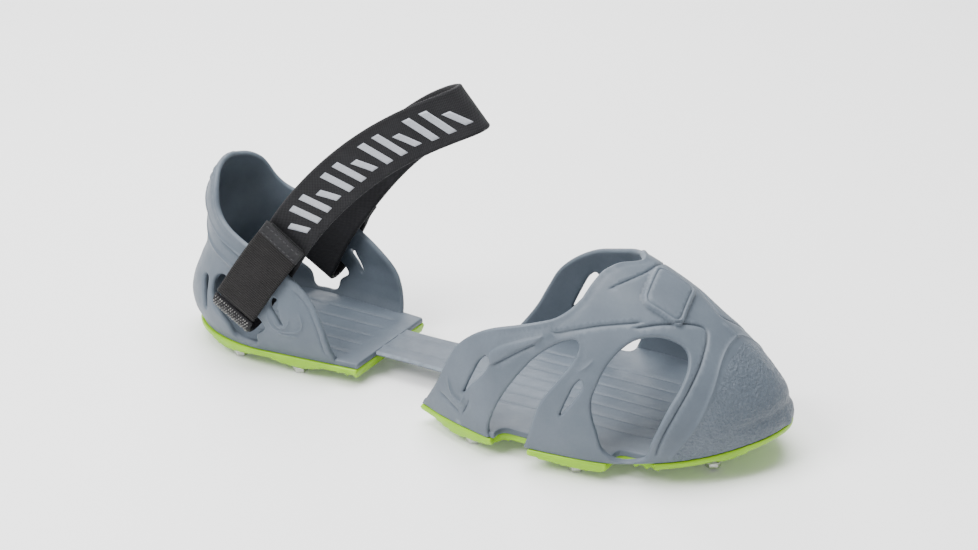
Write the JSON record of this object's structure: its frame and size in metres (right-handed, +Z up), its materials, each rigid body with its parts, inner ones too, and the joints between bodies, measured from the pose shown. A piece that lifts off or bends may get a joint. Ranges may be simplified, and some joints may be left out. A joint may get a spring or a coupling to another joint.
{
  "type": "shoe ice cleat",
  "caption": "Pull-on ice cleat for one shoe: elastomer toe and heel harness, lime tread plates with steel studs, and a hook-and-loop instep strap.",
  "frame": {"origin": "on the footbed, the flat top face of the forefoot base plate, under the middle of the foot", "axes": "+X towards the toe, +Y towards the inner side of the foot, +Z up"},
  "size_m": [0.2772, 0.1014, 0.1309],
  "materials": {
    "harness_elastomer": "matte grey-blue moulded elastomer, pebble grain over the toe",
    "tread_rubber": "satin lime green moulded rubber",
    "stud_steel": "zinc plated, slightly worn",
    "nut_steel": "plain plated",
    "webbing": "black woven nylon webbing with pale printed bars",
    "hook_and_loop": "black hook-and-loop tape",
    "thread": "black sewing thread"
  },
  "bodies": {
    "forefoot": {"forefoot_harness": "harness_elastomer", "forefoot_nut_middle_inner": "nut_steel", "forefoot_nut_middle_outer": "nut_steel", "forefoot_nut_rear_inner": "nut_steel", "forefoot_nut_rear_outer": "nut_steel", "forefoot_nut_toe_inner": "nut_steel", "forefoot_nut_toe_outer": "nut_steel", "forefoot_stud_middle_inner": "stud_steel", "forefoot_stud_middle_outer": "stud_steel", "forefoot_stud_rear_inner": "stud_steel", "forefoot_stud_rear_outer": "stud_steel", "forefoot_stud_toe_inner": "stud_steel", "forefoot_stud_toe_outer": "stud_steel", "forefoot_tread": "tread_rubber"},
    "heel": {"heel_harness": "harness_elastomer", "heel_nut_front_inner": "nut_steel", "heel_nut_front_outer": "nut_steel", "heel_nut_rear_inner": "nut_steel", "heel_nut_rear_outer": "nut_steel", "heel_stud_front_inner": "stud_steel", "heel_stud_front_outer": "stud_steel", "heel_stud_rear_inner": "stud_steel", "heel_stud_rear_outer": "stud_steel", "heel_tread": "tread_rubber"},
    "strap": {"instep_strap": "webbing", "loop_patch": "hook_and_loop", "sewn_return": "webbing", "bar_tack_1": "thread", "bar_tack_2": "thread"},
    "tab": {"strap_tab": "webbing", "hook_patch": "hook_and_loop"}
  },
  "joints": [
    {"name": "arch_flex", "type": "hinge", "parent": "forefoot", "child": "heel", "pos_m": [-0.038, -0.002, -0.00125], "axis": [0, 1, 0], "range_deg": [-20, 20], "stiffness_Nm_per_rad": 1.5},
    {"name": "strap_swing", "type": "hinge", "parent": "heel", "child": "strap", "pos_m": [-0.107, -0.003, 0.016], "axis": [0, 1, 0], "range_deg": [-5, 5]},
    {"name": "tab_peel", "type": "hinge", "parent": "strap", "child": "tab", "pos_m": [-0.1055, -0.0394, 0.0186], "axis": [0.866, 0, -0.5], "range_deg": [0, 120]}
  ]
}
